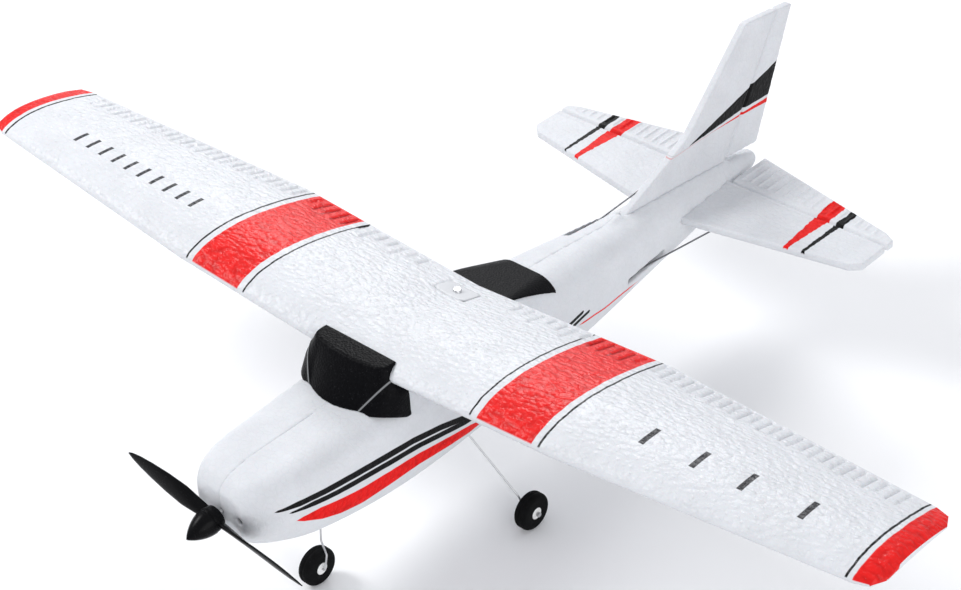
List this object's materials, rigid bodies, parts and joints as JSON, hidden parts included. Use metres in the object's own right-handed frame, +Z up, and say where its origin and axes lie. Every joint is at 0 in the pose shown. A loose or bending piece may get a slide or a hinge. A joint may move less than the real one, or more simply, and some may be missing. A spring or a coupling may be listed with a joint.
{
  "type": "radio control high-wing trainer aeroplane",
  "caption": "Small foam high-wing trainer aeroplane with geared propeller, moving tail surfaces, servo linkages, wire tricycle undercarriage and belly battery door.",
  "frame": {"origin": "middle of the outer box's underside, on the ground under the aeroplane", "axes": "+X to the port wing tip, +Y aft to the tail, +Z up"},
  "size_m": [0.5, 0.405, 0.1465],
  "materials": {
    "battery_wrap": "foil pouch with clear wrap",
    "black_gloss": "gloss",
    "black_plastic": "satin",
    "blue_plastic": "satin translucent",
    "brass": "machined",
    "carbon": "pultruded rod",
    "clear_plastic": "translucent milky",
    "foam_black": "black printed bead foam, satin",
    "foam_white": "white moulded bead foam, fine leathery grain",
    "foam_wing": "white moulded bead foam with red bands",
    "green_board": "solder mask",
    "plywood": "bare",
    "rubber": "matte",
    "steel": "drawn wire",
    "white_plastic": "satin"
  },
  "bodies": {
    "airframe": {"battery": "battery_wrap", "board_feet": "black_plastic", "elevator_servo": "blue_plastic", "elevator_servo_cradle": "black_plastic", "fin": "foam_white", "firewall": "plywood", "front_bushing": "brass", "fuselage_left": "foam_white", "fuselage_right": "foam_white", "gearbox_frame": "black_plastic", "gearbox_screws": "steel", "hatch_frame": "black_plastic", "hatch_hinge_pin": "steel", "hatch_keeper": "steel", "main_gear_socket": "black_plastic", "main_gear_wire": "steel", "motor": "steel", "nose_gear_socket": "black_plastic", "nose_gear_wire": "steel", "rear_bushing": "brass", "rear_window": "foam_black", "receiver_board": "green_board", "receiver_socket": "black_plastic", "rudder_servo": "blue_plastic", "servo_tray": "black_plastic", "stabiliser": "foam_white", "wheel_caps": "black_plastic", "windshield": "foam_black", "wing": "foam_wing", "wing_mount_beam": "plywood", "wing_plate": "clear_plastic", "wing_screw": "steel", "wing_spar_left": "carbon", "wing_spar_right": "carbon"},
    "propeller_group": {"spinner": "black_gloss", "propeller": "black_gloss", "prop_shaft": "steel", "spur_gear": "white_plastic", "thrust_collar": "steel"},
    "motor_rotor": {"motor_shaft": "steel", "motor_pinion": "brass"},
    "rudder": {"rudder": "foam_white", "rudder_horn": "white_plastic"},
    "rudder_rod": {"rudder_pushrod": "steel"},
    "rudder_arm": {"rudder_servo_arm": "white_plastic"},
    "elevator": {"elevator_left": "foam_white", "elevator_right": "foam_white", "elevator_joiner": "steel", "elevator_horn": "white_plastic"},
    "elevator_rod": {"elevator_pushrod": "steel"},
    "elevator_arm": {"elevator_servo_arm": "white_plastic"},
    "nose_wheel": {"nose_wheel_tyre": "rubber", "nose_wheel_hub": "white_plastic"},
    "left_wheel": {"left_wheel_tyre": "rubber", "left_wheel_hub": "white_plastic"},
    "right_wheel": {"right_wheel_tyre": "rubber", "right_wheel_hub": "white_plastic"},
    "hatch": {"battery_hatch": "white_plastic", "hatch_magnet": "steel"}
  },
  "joints": [
    {"name": "propeller_spin", "type": "hinge", "parent": "airframe", "child": "propeller_group", "pos_m": [0, -0.1864, 0.0716], "axis": [0, 0.9925, 0.1219], "continuous": true},
    {"name": "motor_spin", "type": "hinge", "parent": "airframe", "child": "motor_rotor", "pos_m": [0.0105, -0.17647, 0.07282], "axis": [0, 0.9925, 0.1219], "continuous": true},
    {"name": "rudder_hinge", "type": "hinge", "parent": "airframe", "child": "rudder", "pos_m": [0, 0.152, 0.077], "axis": [0, 0.4939, 0.8695], "range_deg": [-18, 18]},
    {"name": "rudder_rod_pivot", "type": "hinge", "parent": "rudder", "child": "rudder_rod", "pos_m": [-0.01, 0.15447, 0.08135], "axis": [0, 0.4939, 0.8695], "range_deg": [-20, 20]},
    {"name": "rudder_servo_arm", "type": "hinge", "parent": "airframe", "child": "rudder_arm", "pos_m": [0.0022, -0.028, 0.0734], "axis": [0, 0, 1], "range_deg": [-20, 20]},
    {"name": "elevator_hinge", "type": "hinge", "parent": "airframe", "child": "elevator", "pos_m": [0, 0.1462, 0.0682], "axis": [1, 0, 0], "range_deg": [-20, 20]},
    {"name": "elevator_rod_pivot", "type": "hinge", "parent": "elevator", "child": "elevator_rod", "pos_m": [0.0222, 0.1462, 0.0568], "axis": [1, 0, 0], "range_deg": [-22, 22]},
    {"name": "elevator_servo_arm", "type": "hinge", "parent": "airframe", "child": "elevator_arm", "pos_m": [0.0064, -0.052, 0.0774], "axis": [1, 0, 0], "range_deg": [-22, 22]},
    {"name": "nose_wheel_spin", "type": "hinge", "parent": "airframe", "child": "nose_wheel", "pos_m": [0, -0.1364, 0.009], "axis": [1, 0, 0], "continuous": true},
    {"name": "left_wheel_spin", "type": "hinge", "parent": "airframe", "child": "left_wheel", "pos_m": [0.0478, -0.0499, 0.009], "axis": [1, 0, 0], "continuous": true},
    {"name": "right_wheel_spin", "type": "hinge", "parent": "airframe", "child": "right_wheel", "pos_m": [-0.0478, -0.0499, 0.009], "axis": [1, 0, 0], "continuous": true},
    {"name": "hatch_hinge", "type": "hinge", "parent": "airframe", "child": "hatch", "pos_m": [0.0106, -0.0975, 0.0424], "axis": [0, -1, 0], "range_deg": [0, 100]}
  ],
  "couplings": [
    {"joint": "motor_spin", "follows": "propeller_spin", "ratio": -3.2},
    {"joint": "rudder_rod_pivot", "follows": "rudder_hinge", "ratio": -1},
    {"joint": "rudder_servo_arm", "follows": "rudder_hinge", "ratio": 1},
    {"joint": "elevator_rod_pivot", "follows": "elevator_hinge", "ratio": -1},
    {"joint": "elevator_servo_arm", "follows": "elevator_hinge", "ratio": 1}
  ]
}
